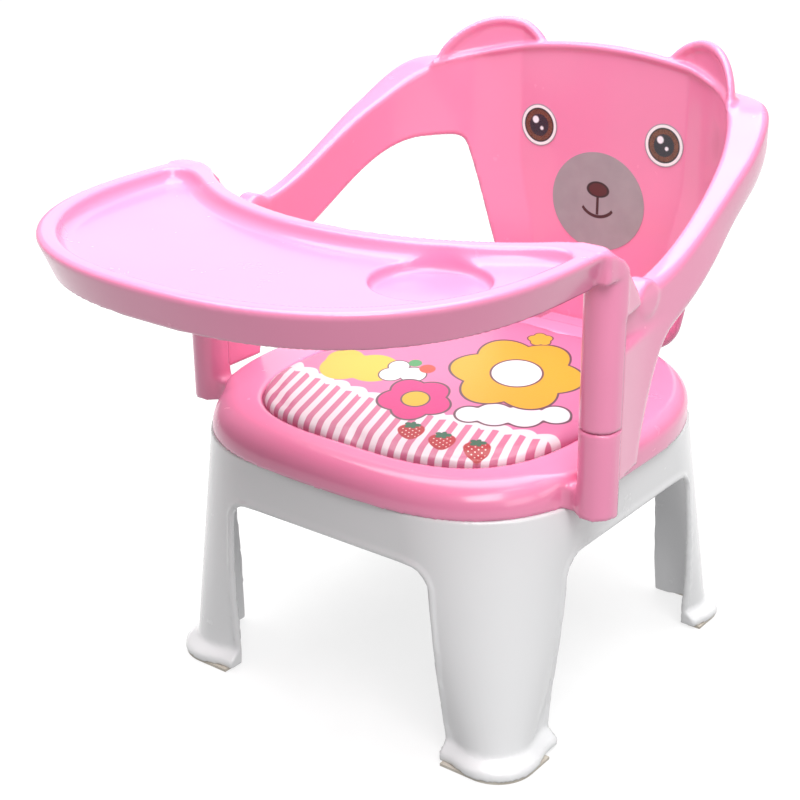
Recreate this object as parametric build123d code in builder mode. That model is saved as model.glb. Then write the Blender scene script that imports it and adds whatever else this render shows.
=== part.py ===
"""Baby high chair: moulded stool base, seat with cushion, bear-faced backrest with arms, lift-off tray.

Millimetres, +Z up, the child faces -Y, the seat centre line is X = 0 and the floor is Z = 0.
"""
from build123d import *
import os
from math import atan2, cos, sin, radians

os.makedirs("parts", exist_ok=True)

# Walls and fits
wall = 3.0
fit_gap = 0.3
slide_gap = 0.4

# Seat pan
seat_bottom = 180.0
seat_rim_height = 22.0
seat_half_width = 155.0
seat_front = 160.0
seat_rear = 163.0
seat_middle = 10.0
seat_rim_round = 12.0
front_squareness = 3.2
rear_squareness = 2.3
cushion_recess = 6.0
mount_half_width = 40.0

# Stool base: it reaches the seat outline less a setback, and splays to the feet
base_setback = 5.0
foot_in = 10.0
foot_front_in = 12.0
foot_rear_in = 17.0
foot_corner = 20.0
foot_flare = 9.0
foot_flare_height = 14.0
pad_thickness = 2.0
pad_margin = 3.0
pad_inset = 1.0
apron_height = 38.0
front_arch_span = 95.0
front_arch_lean = 10.0
side_arch_front = 91.0
side_arch_front_lean = 7.0
side_arch_rear = 103.0
side_arch_rear_lean = 25.0
arch_corner = 14.0
base_corner = 88.0
base_rear_in = 25.0
locating_lip_height = 5.0
lip_inset = 9.0

# Cushion: it keeps an even border inside the seat
cushion_side_in = 35.0
cushion_front_in = 32.0
cushion_rear_in = 33.0
cushion_thickness = 8.5
cushion_round = 6.0
cover_thickness = 2.0
recess_gap = 1.0

# Arm posts, their sockets and the tray sleeves
post_out = 12.0
post_y = -82.0
post_radius = 13.0
post_round = 6.0
sleeve_wall = 2.6
socket_height = 60.0
post_rise = 132.0

# Backrest and arms
back_gap = 22.0
back_thickness = 5.0
arm_out = 4.0
arm_thickness = 15.0
arm_squareness = 4.5
wing_squareness = 2.7
wing_reach = 10.0
arm_reach = 1.0
back_rise = 105.0
back_shoulder_drop = 25.0
back_shoulder_half_width = 132.0
ear_radius = 41.0
ear_x = 88.0
ear_drop = 29.0
waist_half_width = 104.0
waist_drop = 117.0
tail_half_width = 78.0
arm_front_rise = 7.0
arm_middle_y = 54.0
arm_middle_rise = 38.0
arm_back_y = 150.0
arm_back_rise = 70.0
arm_depth = 46.0
arm_corner = 22.0
shoulder_drop = 33.0
column_flare = 8.0
column_depth = 44.0
hook_setback = 27.0
hook_length = 29.0
hook_height = 5.0
hook_radius = 12.0
hook_gap = 1.0

# Tray
tray_rise = 48.0
tray_skirt = 24.0
tray_draft = 9.0
tray_overhang = 11.0
tray_widest_y = -125.0
tray_front = 306.0
tray_squareness = 2.45
tray_rear_in = 6.0
tray_rear_middle_y = -150.0
tray_lobe = 30.0
tray_lobe_corner = 9.0
tray_rim = 13.0
dish_depth = 10.0
cup_x = 106.0
cup_y = -176.0
cup_radius = 36.0
cup_depth = 7.0

# Face
eye_x = 56.0
eye_drop = 69.0
eye_radius = 16.5
muzzle_drop = 122.0
muzzle_half_width = 41.5
muzzle_half_height = 39.0
sticker_thickness = 0.4
sticker_lift = 0.05

# Screws
screw_radius = 2.0
screw_bite = 0.1
screw_head_radius = 4.2
screw_head_height = 2.6
screw_boss_radius = 5.5
seat_screw_x = 95.0
seat_screw_y = 90.0
back_screw_x = 24.0
back_screw_length = 14.0
screw_tip_gap = 1.0

seat_top = seat_bottom + seat_rim_height
cushion_floor = seat_top - cushion_recess
base_half_width = seat_half_width - base_setback
base_front = seat_front - base_setback
base_rear = seat_rear - base_rear_in
foot_half_width = seat_half_width - foot_in
foot_front = seat_front - foot_front_in
foot_rear = seat_rear - foot_rear_in
deck_bottom = seat_bottom - wall
apron_bottom = seat_bottom - apron_height
cushion_half_width = seat_half_width - cushion_side_in
cushion_front = seat_front - cushion_front_in
cushion_rear = seat_rear - cushion_rear_in
post_x = seat_half_width + post_out
post_seam_y = post_y + post_round
post_top = seat_bottom + post_rise
socket_top = seat_bottom + socket_height
socket_floor = seat_bottom + wall
guide_radius = post_radius - sleeve_wall - slide_gap
back_face = seat_rear + back_gap
back_rear = back_face + back_thickness
arm_outside = post_x + arm_out
arm_inside = arm_outside - arm_thickness
back_top = post_top + back_rise
back_shoulder = back_top - back_shoulder_drop
ear_z = back_top - ear_drop
waist_z = back_top - waist_drop
eye_z = back_top - eye_drop
muzzle_z = back_top - muzzle_drop
arm_front_z = post_top + arm_front_rise
arm_middle_z = post_top + arm_middle_rise
arm_back_z = post_top + arm_back_rise
shoulder_z = post_top - shoulder_drop
column_rear_y = post_seam_y + column_depth
hook_front_y = post_seam_y + hook_setback
hook_rear_y = hook_front_y + hook_length
tray_top = post_top + tray_rise
tray_half_width = post_x + tray_overhang
tray_rear_corner_y = post_y - tray_rear_in
tray_underside = tray_top - tray_skirt
dish_floor = tray_top - dish_depth
mount_rear_y = back_face - fit_gap
column_bottom = seat_top + fit_gap
guide_top = post_top - 2 * wall
sleeve_bottom = socket_top + fit_gap
seat_deck_bottom = cushion_floor - wall
tail_bottom = seat_bottom + 2 * fit_gap
back_screw_z = seat_bottom + seat_rim_height / 2


def oval(half_width, front, rear, middle, front_power, rear_power, steps=36):
    """Points round a squared-off oval; front and rear reach are measured from Y = 0."""
    points = []
    for step in range(steps):
        angle = radians(360.0 * step / steps)
        across = cos(angle)
        along = sin(angle)
        reach = rear - middle if along > 0 else front + middle
        power = rear_power if along > 0 else front_power
        size = (abs(across / half_width) ** power + abs(along / reach) ** power) ** (-1.0 / power)
        points.append((size * across, middle + size * along))
    return points


def seat_outline(inset=0.0):
    """Seat outline brought in by a set distance."""
    return oval(
        seat_half_width - inset, seat_front - inset, seat_rear - inset, seat_middle,
        front_squareness, rear_squareness,
    )


def cushion_outline(inset=0.0):
    """Cushion outline brought in by a set distance."""
    return oval(
        cushion_half_width - inset, cushion_front - inset, cushion_rear - inset, seat_middle / 2,
        front_squareness, rear_squareness,
    )


def wing(half_width, rear, flat_rear, power, steps=12):
    """Points along one side of a horseshoe plan, from the arm back to its flat middle."""
    crease_x = half_width * (1 - (flat_rear / rear) ** power) ** (1 / power)
    points = []
    for step in range(steps + 1):
        angle = atan2(flat_rear, crease_x) * step / steps
        across = cos(angle)
        along = sin(angle)
        size = (abs(across / half_width) ** power + abs(along / rear) ** power) ** (-1 / power)
        points.append((size * across, size * along))
    return points


def draw_horseshoe(half_width, reach, flat_rear, power, front_end, mode=Mode.ADD):
    """Everything inside a horseshoe plan whose sides would meet a reach behind its flat middle."""
    rear = flat_rear + reach
    right = wing(half_width, rear, flat_rear, power)
    left = [(-point[0], point[1]) for point in right]
    across = (flat_rear / rear) ** (power - 1) / rear
    along = (right[-1][0] / half_width) ** (power - 1) / half_width
    with BuildLine() as line:
        Spline(right, tangents=[(0, 1), (-1, along / across)])
        Line(right[-1], left[-1])
        Spline(left, tangents=[(0, 1), (1, along / across)])
        if front_end < 0:
            Polyline(left[0], (-half_width, front_end), (half_width, front_end), right[0])
        else:
            Line(left[0], right[0])
    make_face(line.edges(), mode=mode)


def draw_back_space(grow, front_end, mode=Mode.ADD):
    """Plan of the space that the panel and arms wrap round, grown outward by a set distance."""
    draw_horseshoe(arm_inside + grow, wing_reach, back_face + grow, wing_squareness, front_end, mode)


def draw_arm_band(inset, front_end):
    """Plan of the arms, from their round outside to the space they wrap."""
    draw_horseshoe(arm_outside - inset, arm_reach, back_rear - inset, arm_squareness, front_end)
    draw_back_space(inset, front_end - wall, mode=Mode.SUBTRACT)


def draw_panel_band(outer, inner, front_end):
    """Plan of a thin wall between two growths of the wrapped space."""
    draw_back_space(outer, front_end)
    draw_back_space(inner, front_end - wall, mode=Mode.SUBTRACT)


def draw_oval(points):
    """Filled closed curve through a ring of points."""
    with BuildLine() as line:
        Spline(points, periodic=True)
    make_face(line.edges())


def draw_arm_side(drop=0.0):
    """Side view of an arm and its front column; drop lowers the top edge."""
    middle_low = (arm_middle_y, arm_middle_z - arm_depth)
    back_low = (arm_back_y, arm_back_z - arm_depth)
    column_low = (column_rear_y, shoulder_z - arm_corner)
    shoulder = (column_rear_y + arm_corner, shoulder_z)
    with BuildLine() as line:
        Polyline(
            column_low, (column_rear_y, column_bottom - drop), (post_seam_y, column_bottom - drop),
            (post_seam_y, post_top - drop), (hook_front_y, post_top - drop),
            (hook_front_y, arm_front_z - drop),
        )
        Spline(
            (hook_front_y, arm_front_z - drop), (arm_middle_y, arm_middle_z - drop),
            (arm_back_y, arm_back_z - drop), (back_rear + wall, back_shoulder - drop),
        )
        Polyline(
            (back_rear + wall, back_shoulder - drop), (back_rear + wall, back_low[1]), back_low,
        )
        Spline(back_low, middle_low, shoulder, tangents=[(-1, 0), (-1, -0.2)])
        Spline(shoulder, column_low, tangents=[(-1, -0.2), (0, -1)])
    make_face(line.edges())


def draw_post(radius, seam):
    """Plan of both arm posts: round in front and cut straight at the rear seam."""
    for side in (1, -1):
        with Locations((side * post_x, post_y)):
            Circle(radius)
        with Locations((side * post_x, (post_y + seam) / 2)):
            Rectangle(2 * radius, seam - post_y)
    with Locations((0, seam + radius)):
        Rectangle(4 * post_x, 2 * radius, mode=Mode.SUBTRACT)


def draw_base(height, grow, mode=Mode.ADD):
    """Base outline at a height, grown outward by a set distance."""
    share = height / seat_bottom
    half_width = foot_half_width + (base_half_width - foot_half_width) * share + grow
    front = foot_front + (base_front - foot_front) * share + grow
    rear = foot_rear + (base_rear - foot_rear) * share + grow
    corner = foot_corner + (base_corner - foot_corner) * share + grow
    with Locations((0, (rear - front) / 2)):
        RectangleRounded(2 * half_width, front + rear, corner, mode=mode)


def draw_arch(near_span, near_lean, far_span, far_lean):
    """Opening between two legs, wider at the floor, with rounded top corners."""
    with BuildLine() as line:
        Polyline(
            (-near_span, -wall), (far_span, -wall), (far_span - far_lean, apron_bottom),
            (near_lean - near_span, apron_bottom), close=True,
        )
    face = make_face(line.edges())
    fillet(face.vertices().group_by(Axis.Y)[-1], radius=arch_corner)


def tray_outline(inset=0.0):
    """Half of the tray front, from the widest point round to the middle of the front edge."""
    points = oval(
        tray_half_width - inset, tray_front - inset, 0, tray_widest_y, tray_squareness, 2,
    )
    return [point for point in points if round(point[1] - tray_widest_y, 6) <= 0]


def draw_tray(inset=0.0):
    """Tray outline: full round front, and a rear edge hollowed for the child between two lobes."""
    front = sorted(tray_outline(inset))
    left, right = front[0], front[-1]
    rear_y = tray_rear_corner_y - inset
    middle_y = tray_rear_middle_y - inset
    lobe_x = right[0] - tray_lobe
    with BuildLine() as line:
        Spline(front, tangents=[(0, -1), (0, 1)])
        Polyline(right, (right[0], rear_y - tray_lobe_corner))
        RadiusArc(
            (right[0], rear_y - tray_lobe_corner), (right[0] - tray_lobe_corner, rear_y), -tray_lobe_corner,
        )
        Line((right[0] - tray_lobe_corner, rear_y), (lobe_x, rear_y))
        ThreePointArc((lobe_x, rear_y), (0, middle_y), (-lobe_x, rear_y))
        Line((-lobe_x, rear_y), (left[0] + tray_lobe_corner, rear_y))
        RadiusArc(
            (left[0] + tray_lobe_corner, rear_y), (left[0], rear_y - tray_lobe_corner), -tray_lobe_corner,
        )
        Polyline((left[0], rear_y - tray_lobe_corner), left)
    make_face(line.edges())


# Base: four hollow corner legs under an apron, with a deck the seat is screwed to
with BuildPart() as base_frame:
    with BuildSketch(Plane.XY.offset(pad_thickness)):
        draw_base(0, 0)
    with BuildSketch(Plane.XY.offset(seat_bottom)):
        draw_base(seat_bottom, 0)
    loft()
    with BuildSketch(Plane.XY.offset(pad_thickness)):
        draw_base(0, foot_flare)
    with BuildSketch(Plane.XY.offset(pad_thickness + foot_flare_height)):
        draw_base(foot_flare_height, -wall / 2)
    loft()
    with BuildSketch(Plane.XY.offset(0)):
        draw_base(0, -wall)
    with BuildSketch(Plane.XY.offset(deck_bottom)):
        draw_base(deck_bottom, -wall)
    loft(mode=Mode.SUBTRACT)
    with BuildSketch(Plane.XZ):
        draw_arch(front_arch_span, front_arch_lean, front_arch_span, front_arch_lean)
    extrude(amount=2 * foot_front, both=True, mode=Mode.SUBTRACT)
    with BuildSketch(Plane.YZ):
        draw_arch(side_arch_front, side_arch_front_lean, side_arch_rear, side_arch_rear_lean)
    extrude(amount=2 * foot_front, both=True, mode=Mode.SUBTRACT)
    with BuildSketch(Plane.XY.offset(seat_bottom)):
        draw_base(seat_bottom, -lip_inset)
        draw_base(seat_bottom, -lip_inset - wall, mode=Mode.SUBTRACT)
    extrude(amount=locating_lip_height)
    with BuildSketch(Plane.XY.offset(deck_bottom)):
        with GridLocations(2 * seat_screw_x, 2 * seat_screw_y, 2, 2):
            Circle(screw_radius + fit_gap)
    extrude(amount=wall, mode=Mode.SUBTRACT)
base_frame.part.label = "base_frame"
export_step(base_frame.part, "parts/base_frame.step")

# Non-slip pads: one L-shaped strip glued under each foot
pad_inner_x = front_arch_span + pad_margin
pad_inner_y = side_arch_rear + pad_margin
for pad_name, side, end in (
    ("foot_pad_front_left", 1, -1), ("foot_pad_front_right", -1, -1),
    ("foot_pad_rear_left", 1, 1), ("foot_pad_rear_right", -1, 1),
):
    with BuildPart() as foot_pad:
        with BuildSketch():
            draw_base(0, foot_flare - pad_inset)
            draw_base(0, pad_inset - wall, mode=Mode.SUBTRACT)
            with Locations((side * (pad_inner_x + foot_front), end * (pad_inner_y + foot_front))):
                Rectangle(2 * foot_front, 2 * foot_front, mode=Mode.INTERSECT)
        extrude(amount=pad_thickness)
    foot_pad.part.label = pad_name
    export_step(foot_pad.part, "parts/" + pad_name + ".step")

# Seat pan: a skirted tray with a cushion recess, two post sockets and a rear mounting block
with BuildPart() as seat_pan:
    with BuildSketch(Plane.XY.offset(seat_bottom)):
        draw_oval(seat_outline())
    extrude(amount=seat_rim_height)
    fillet(seat_pan.faces().sort_by(Axis.Z)[-1].edges(), radius=seat_rim_round)
    with BuildSketch(Plane.XY.offset(seat_bottom)):
        draw_oval(seat_outline(wall))
    extrude(amount=seat_deck_bottom - seat_bottom, mode=Mode.SUBTRACT)
    with BuildSketch(Plane.XY.offset(cushion_floor)):
        draw_oval(cushion_outline(-recess_gap))
    extrude(amount=2 * cushion_recess, mode=Mode.SUBTRACT)
    with BuildSketch(Plane.XY.offset(seat_bottom)):
        with GridLocations(2 * seat_screw_x, 2 * seat_screw_y, 2, 2):
            Circle(screw_boss_radius)
    extrude(amount=seat_deck_bottom - seat_bottom)
    with BuildSketch(Plane.XY.offset(seat_bottom)):
        with Locations((0, (seat_rear - 4 * wall + mount_rear_y) / 2)):
            Rectangle(2 * mount_half_width, mount_rear_y - seat_rear + 4 * wall)
    extrude(amount=seat_deck_bottom - seat_bottom + wall)
    with BuildSketch(Plane.XY.offset(seat_bottom)):
        for side in (1, -1):
            with Locations((side * (seat_half_width + post_x - 4 * wall) / 2, post_y)):
                Rectangle(post_x - seat_half_width + 4 * wall, 2 * (post_seam_y - post_y))
    extrude(amount=seat_rim_height - seat_rim_round / 2)
    with BuildSketch(Plane.XY.offset(seat_bottom)):
        draw_post(post_radius, post_seam_y)
    extrude(amount=socket_height)
    with BuildSketch(Plane.XY.offset(socket_floor)):
        draw_post(post_radius - sleeve_wall, post_seam_y + wall)
    extrude(amount=socket_height, mode=Mode.SUBTRACT)
    with BuildSketch(Plane.XY.offset(seat_bottom)):
        with GridLocations(2 * seat_screw_x, 2 * seat_screw_y, 2, 2):
            Circle(screw_radius + screw_bite)
    extrude(amount=seat_deck_bottom - seat_bottom, mode=Mode.SUBTRACT)
    with BuildSketch(Plane.XZ.offset(-mount_rear_y)):
        with Locations((back_screw_x, back_screw_z), (-back_screw_x, back_screw_z)):
            Circle(screw_radius + screw_bite)
    extrude(amount=back_screw_length, mode=Mode.SUBTRACT)
seat_pan.part.label = "seat_pan"
export_step(seat_pan.part, "parts/seat_pan.step")

# Cushion: a printed soft cover round a filling, loose in the recess
with BuildPart() as cushion_filling:
    with BuildSketch(Plane.XY.offset(cushion_floor + cover_thickness + fit_gap)):
        draw_oval(cushion_outline(cover_thickness))
    extrude(amount=cushion_thickness - 2 * cover_thickness)
    fillet(cushion_filling.faces().sort_by(Axis.Z)[-1].edges(), radius=cushion_round - cover_thickness)
cushion_filling.part.label = "cushion_filling"
export_step(cushion_filling.part, "parts/cushion_filling.step")

with BuildPart() as cushion_cover:
    with BuildSketch(Plane.XY.offset(cushion_floor + fit_gap)):
        draw_oval(cushion_outline())
    extrude(amount=cushion_thickness)
    fillet(cushion_cover.faces().sort_by(Axis.Z)[-1].edges(), radius=cushion_round)
    add(cushion_filling.part, mode=Mode.SUBTRACT)
cushion_cover.part.label = "cushion_cover"
export_step(cushion_cover.part, "parts/cushion_cover.step")

# Backrest: one moulding of panel, ears, arms, front columns and the guides inside the posts
with BuildPart() as arms:
    with BuildSketch(Plane.XY.offset(column_bottom)):
        draw_arm_band(0, post_seam_y)
    extrude(amount=back_top - column_bottom)
    with BuildSketch(Plane.YZ):
        draw_arm_side()
    extrude(amount=2 * arm_outside, both=True, mode=Mode.INTERSECT)

with BuildPart() as arm_hollow:
    with BuildSketch(Plane.XY.offset(seat_bottom)):
        draw_arm_band(wall, post_seam_y + wall)
    extrude(amount=back_top - seat_bottom)
    with BuildSketch(Plane.YZ):
        draw_arm_side(drop=wall)
    extrude(amount=2 * arm_outside, both=True, mode=Mode.INTERSECT)
    with BuildSketch(Plane.XZ.offset(-arm_back_y)):
        Rectangle(4 * arm_outside, 2 * back_top)
    extrude(amount=-2 * back_rear, mode=Mode.SUBTRACT)

with BuildPart() as backrest:
    with BuildSketch(Plane.XY.offset(tail_bottom)):
        draw_panel_band(back_thickness, 0, 0)
    extrude(amount=back_top + ear_radius - tail_bottom)
    with BuildSketch(Plane.XZ.offset(-back_rear - wall)):
        with BuildLine() as half_panel:
            Polyline((0, back_top), (0, tail_bottom), (mount_half_width, tail_bottom))
            Spline(
                (mount_half_width, tail_bottom), (tail_half_width, seat_top), (waist_half_width, waist_z),
                (back_shoulder_half_width, back_shoulder),
            )
            Spline(
                (back_shoulder_half_width, back_shoulder), (0, back_top),
                tangents=[(-1, 0.7), (-1, 0)],
            )
        make_face()
        with Locations((ear_x, ear_z)):
            Circle(ear_radius)
        mirror(about=Plane.YZ)
    extrude(amount=arm_middle_y, mode=Mode.INTERSECT)
    add(arms.part)
    with BuildSketch(Plane.XY.offset(column_bottom)):
        with BuildLine():
            Polyline(
                (arm_outside - wall, post_seam_y), (arm_outside + column_flare, post_seam_y),
                (arm_outside, column_rear_y), (arm_outside - wall, column_rear_y), close=True,
            )
        make_face()
        mirror(about=Plane.YZ)
    extrude(amount=shoulder_z - column_bottom)
    add(arm_hollow.part, mode=Mode.SUBTRACT)
    with BuildSketch(Plane.XY.offset(socket_floor)):
        draw_post(guide_radius, post_seam_y + wall)
    extrude(amount=guide_top - socket_floor)
    with BuildSketch(Plane.YZ.offset(arm_inside)):
        with Locations(((hook_front_y + hook_rear_y) / 2, arm_front_z + hook_height - hook_radius)):
            Circle(hook_radius)
    hook = extrude(amount=arm_thickness)
    mirror(hook, about=Plane.YZ)
    with BuildSketch(Plane.XZ.offset(-back_rear)):
        with Locations((back_screw_x, back_screw_z), (-back_screw_x, back_screw_z)):
            Circle(screw_radius + fit_gap)
    extrude(amount=back_thickness + wall, mode=Mode.SUBTRACT)
backrest.part.label = "backrest"
export_step(backrest.part, "parts/backrest.step")

# Tray: skirted dish with a cup recess, two sleeves that drop over the guides, and rear saddles
with BuildPart() as tray:
    with BuildSketch(Plane.XY.offset(tray_underside)):
        draw_tray(tray_draft)
    with BuildSketch(Plane.XY.offset(tray_top)):
        draw_tray()
    loft()
    with BuildSketch(Plane.XY.offset(tray_underside)):
        draw_tray(tray_draft + wall)
    with BuildSketch(Plane.XY.offset(dish_floor - wall)):
        draw_tray(tray_rim)
    loft(mode=Mode.SUBTRACT)
    with BuildSketch(Plane.XY.offset(dish_floor)):
        draw_tray(tray_rim + wall)
    with BuildSketch(Plane.XY.offset(tray_top)):
        draw_tray(tray_rim)
    loft(mode=Mode.SUBTRACT)
    with BuildSketch(Plane.XY.offset(dish_floor - cup_depth - wall)):
        with Locations((cup_x, cup_y)):
            Circle(cup_radius + wall)
    extrude(amount=cup_depth + wall)
    with BuildSketch(Plane.XY.offset(dish_floor - cup_depth)):
        with Locations((cup_x, cup_y)):
            Circle(cup_radius)
    extrude(amount=cup_depth + wall, mode=Mode.SUBTRACT)
    with BuildSketch(Plane.XY.offset(sleeve_bottom)):
        draw_post(post_radius, post_seam_y - fit_gap)
    extrude(amount=tray_underside + wall - sleeve_bottom)
    with BuildSketch(Plane.XY.offset(sleeve_bottom)):
        draw_post(post_radius - sleeve_wall, post_seam_y + wall)
    extrude(amount=guide_top + fit_gap - sleeve_bottom, mode=Mode.SUBTRACT)
    with BuildSketch(Plane.YZ.offset(post_x - post_radius)):
        with BuildLine():
            Polyline(
                (post_y - post_radius + wall, post_top + fit_gap), (hook_front_y - hook_gap, post_top + fit_gap),
                (hook_front_y - hook_gap, arm_front_z), (tray_rear_corner_y, tray_top - wall),
                (post_y - post_radius + wall, tray_top - wall), close=True,
            )
        make_face()
    saddle = extrude(amount=2 * post_radius)
    mirror(saddle, about=Plane.YZ)
tray.part.label = "tray"
export_step(tray.part, "parts/tray.step")

# Face stickers, lying on the curved front of the panel
for sticker_name, sticker_x, sticker_z, across, high in (
    ("eye_left", eye_x, eye_z, eye_radius, eye_radius),
    ("eye_right", -eye_x, eye_z, eye_radius, eye_radius),
    ("muzzle_patch", 0, muzzle_z, muzzle_half_width, muzzle_half_height),
):
    with BuildPart() as sticker:
        with BuildSketch(Plane.XY.offset(waist_z - muzzle_half_height * 2)):
            draw_panel_band(-sticker_lift, -sticker_lift - sticker_thickness, 0)
        extrude(amount=back_top - waist_z + muzzle_half_height * 2)
        with BuildSketch(Plane.XZ.offset(-back_rear)):
            with Locations((sticker_x, sticker_z)):
                Ellipse(across, high)
        extrude(amount=arm_middle_y, mode=Mode.INTERSECT)
    sticker.part.label = sticker_name
    export_step(sticker.part, "parts/" + sticker_name + ".step")

# Screws: four up through the deck into the seat, two through the back panel into the mounting block
with BuildPart() as seat_screws:
    with BuildSketch(Plane.XY.offset(deck_bottom)):
        with GridLocations(2 * seat_screw_x, 2 * seat_screw_y, 2, 2):
            Circle(screw_head_radius)
    extrude(amount=-screw_head_height)
    with BuildSketch(Plane.XY.offset(deck_bottom)):
        with GridLocations(2 * seat_screw_x, 2 * seat_screw_y, 2, 2):
            Circle(screw_radius)
    extrude(amount=seat_deck_bottom - deck_bottom - screw_tip_gap)
seat_screws.part.label = "seat_screws"
export_step(seat_screws.part, "parts/seat_screws.step")

with BuildPart() as back_screws:
    with BuildSketch(Plane.XZ.offset(-back_rear)):
        with Locations((back_screw_x, back_screw_z), (-back_screw_x, back_screw_z)):
            Circle(screw_head_radius)
    extrude(amount=-screw_head_height)
    with BuildSketch(Plane.XZ.offset(-back_rear)):
        with Locations((back_screw_x, back_screw_z), (-back_screw_x, back_screw_z)):
            Circle(screw_radius)
    extrude(amount=back_screw_length)
back_screws.part.label = "back_screws"
export_step(back_screws.part, "parts/back_screws.step")
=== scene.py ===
import math

import bpy
from mathutils import Matrix, Vector


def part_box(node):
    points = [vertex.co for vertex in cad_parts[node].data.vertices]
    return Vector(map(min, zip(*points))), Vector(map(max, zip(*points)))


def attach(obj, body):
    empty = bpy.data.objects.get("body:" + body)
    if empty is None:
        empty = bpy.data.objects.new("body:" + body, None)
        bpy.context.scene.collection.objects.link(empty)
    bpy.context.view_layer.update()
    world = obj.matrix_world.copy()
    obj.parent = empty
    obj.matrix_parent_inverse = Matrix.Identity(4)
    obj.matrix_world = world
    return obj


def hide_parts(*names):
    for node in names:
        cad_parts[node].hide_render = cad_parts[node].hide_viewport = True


bl_info = {
    "name": "Toddler Chair Finisher",
    "version": (1, 0, 0),
    "blender": (4, 5, 0),
    "location": "View3D > Sidebar > Toddler Chair",
    "description": "Builds the moulded pieces, cushion and finishes of a low feeding chair",
    "category": "Object",
}

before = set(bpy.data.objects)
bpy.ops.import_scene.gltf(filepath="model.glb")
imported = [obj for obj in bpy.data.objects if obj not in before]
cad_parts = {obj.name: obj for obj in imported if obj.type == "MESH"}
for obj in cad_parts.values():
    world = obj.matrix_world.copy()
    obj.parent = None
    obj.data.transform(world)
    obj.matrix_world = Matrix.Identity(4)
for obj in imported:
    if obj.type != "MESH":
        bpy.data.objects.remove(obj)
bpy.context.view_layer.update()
tray_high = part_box("tray")[1]
seat_low, seat_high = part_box("seat_pan")
back_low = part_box("backrest")[0]
cover_low, cover_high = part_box("cushion_cover")
muzzle_low, muzzle_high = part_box("muzzle_patch")

fit_gap = 0.0003
seat_bottom = seat_low.z
seat_top = seat_bottom + 0.022
recess_floor = seat_top - 0.006
pad_bottom = cover_low.z + 0.0002

# Arm posts: a seat socket, a tray sleeve and a backrest guide that runs inside both
post_x = 0.167
post_y = -0.082
post_seam = -0.076
post_radius = 0.013
bore_radius = 0.0104
guide_radius = 0.010
guide_top = 0.306
post_top = 0.312

# Backrest plan: the space it wraps, its sheet and its flat middle
wrap_half_width = 0.156
wrap_reach = 0.195
panel_face = 0.185
panel_thickness = 0.005
arm_outside = 0.171
ear_x = 0.088
ear_z = 0.388

# Cup recess in the tray
cup_x = 0.106
cup_y = -0.176


# ---------------------------------------------------------------- values in node trees
class Term:
    """One value in a node tree; arithmetic on it adds the matching Math nodes."""

    def __init__(self, graph, socket):
        self.graph = graph
        self.socket = socket

    def __add__(self, other):
        return self.graph.maths("ADD", self, other)

    __radd__ = __add__

    def __sub__(self, other):
        return self.graph.maths("SUBTRACT", self, other)

    def __rsub__(self, other):
        return self.graph.maths("SUBTRACT", other, self)

    def __mul__(self, other):
        return self.graph.maths("MULTIPLY", self, other)

    __rmul__ = __mul__

    def __truediv__(self, other):
        return self.graph.maths("DIVIDE", self, other)

    def __rtruediv__(self, other):
        return self.graph.maths("DIVIDE", other, self)

    def __pow__(self, other):
        return self.graph.maths("POWER", self, other)

    def __neg__(self):
        return self.graph.maths("MULTIPLY", self, -1.0)

    def __abs__(self):
        return self.graph.maths("ABSOLUTE", self)

    def __gt__(self, other):
        return self.graph.maths("GREATER_THAN", self, other)


class Graph:
    """Adds nodes to one node tree."""

    def __init__(self, tree):
        self.tree = tree

    def node(self, kind, settings=None, inputs=None, output=0):
        """One node: its type, its settings, then the values or links of its sockets."""
        node = self.tree.nodes.new(kind)
        for name, value in (settings or {}).items():
            if name == "stops":
                while len(node.color_ramp.elements) < len(value):
                    node.color_ramp.elements.new(1.0)
                for element, (place, colour) in zip(node.color_ramp.elements, value):
                    element.position = place
                    element.color = (*colour, 1.0)
            else:
                setattr(node, name, value)
        for key, value in (inputs or {}).items():
            if isinstance(value, Term):
                self.tree.links.new(value.socket, node.inputs[key])
            else:
                node.inputs[key].default_value = value
        return Term(self, node.outputs[output])

    def maths(self, operation, *values):
        """One Math node."""
        return self.node("ShaderNodeMath", {"operation": operation}, dict(enumerate(values)))


def lowest(first, second, blend=0.0):
    """Smaller of two values, or the union of two shapes; blend rounds the inside corner."""
    if isinstance(blend, Term) or blend:
        return first.graph.maths("SMOOTH_MIN", first, second, blend)
    return first.graph.maths("MINIMUM", first, second)


def highest(first, second, blend=0.0):
    """Larger of two values, or the overlap of two shapes; blend rounds the outside corner."""
    if isinstance(blend, Term) or blend:
        return first.graph.maths("SMOOTH_MAX", first, second, blend)
    return first.graph.maths("MAXIMUM", first, second)


def reach(first, second):
    """Length of the diagonal of two sides."""
    return (first * first + second * second) ** 0.5


def rise(value, start, end):
    """Smooth step from 0 at start to 1 at end."""
    return value.graph.node(
        "ShaderNodeMapRange", {"interpolation_type": "SMOOTHSTEP"}, {0: value, 1: start, 2: end},
    )


def rounded(first, second, radius):
    """Overlap of two shapes with the edge between them rounded to a radius."""
    near = highest(first + radius, 0.0)
    far = highest(second + radius, 0.0)
    return reach(near, far) + lowest(highest(first, second) + radius, 0.0) - radius


def oval(across, along, half_width, length, power):
    """Distance from a squared-off oval, below zero inside it."""
    u = highest(across / half_width, 0.0001)
    v = highest(along / length, 0.0001)
    size = (u ** power + v ** power) ** (1 / power)
    slope = reach(u ** (power - 1) / half_width, v ** (power - 1) / length)
    return (size - 1) * size ** (power - 1) / slope


def half_round(x, y, radius, seam):
    """Distance from the plan of an arm post: round in front, cut straight at its rear seam."""
    nose = reach(abs(x) - post_x, lowest(y - post_y, 0.0)) - radius
    return highest(nose, y - seam)


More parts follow.
